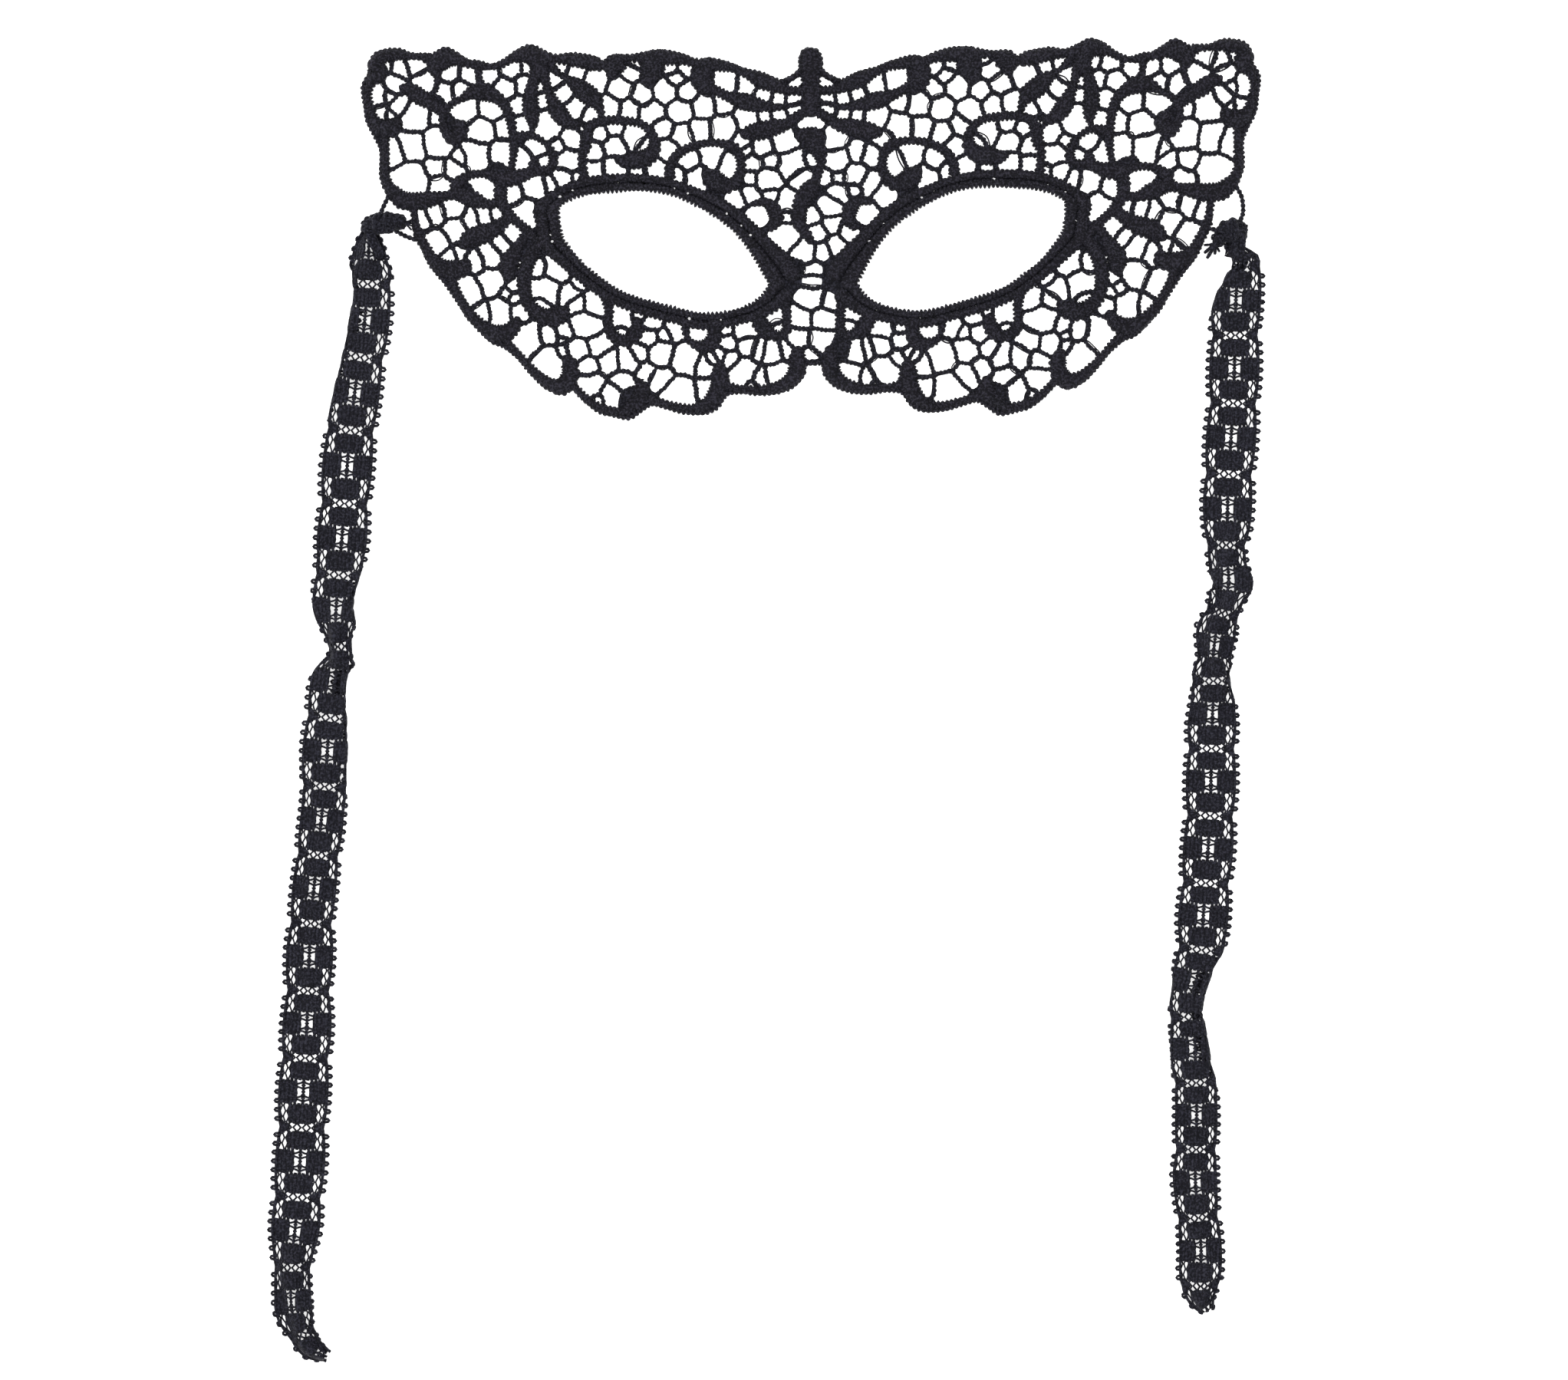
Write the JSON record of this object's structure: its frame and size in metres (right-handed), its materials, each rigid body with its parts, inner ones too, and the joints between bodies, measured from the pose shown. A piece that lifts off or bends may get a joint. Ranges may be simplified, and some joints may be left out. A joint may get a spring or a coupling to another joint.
{
  "type": "lace half mask",
  "caption": "Flat lace eye mask with scrolled cords on an open net, two eye openings, and a lace tie knotted on to a thread loop at each temple.",
  "frame": {"origin": "on the panel's back face, under the hub of the bow at the top of the centre line", "axes": "+Z out of the panel's front, away from the face; +Y towards the panel's top edge; +X towards the picture's right"},
  "size_m": [0.2605, 0.3421, 0.0064],
  "materials": {
    "panel_lace": "black satin-stitched polyester lace",
    "tie_lace": "soft black knitted lace trim"
  },
  "bodies": {
    "root": {"lace_panel": "panel_lace", "knot_left": "tie_lace", "knot_right": "tie_lace", "tie_left": "tie_lace", "tie_right": "tie_lace"}
  },
  "joints": []
}
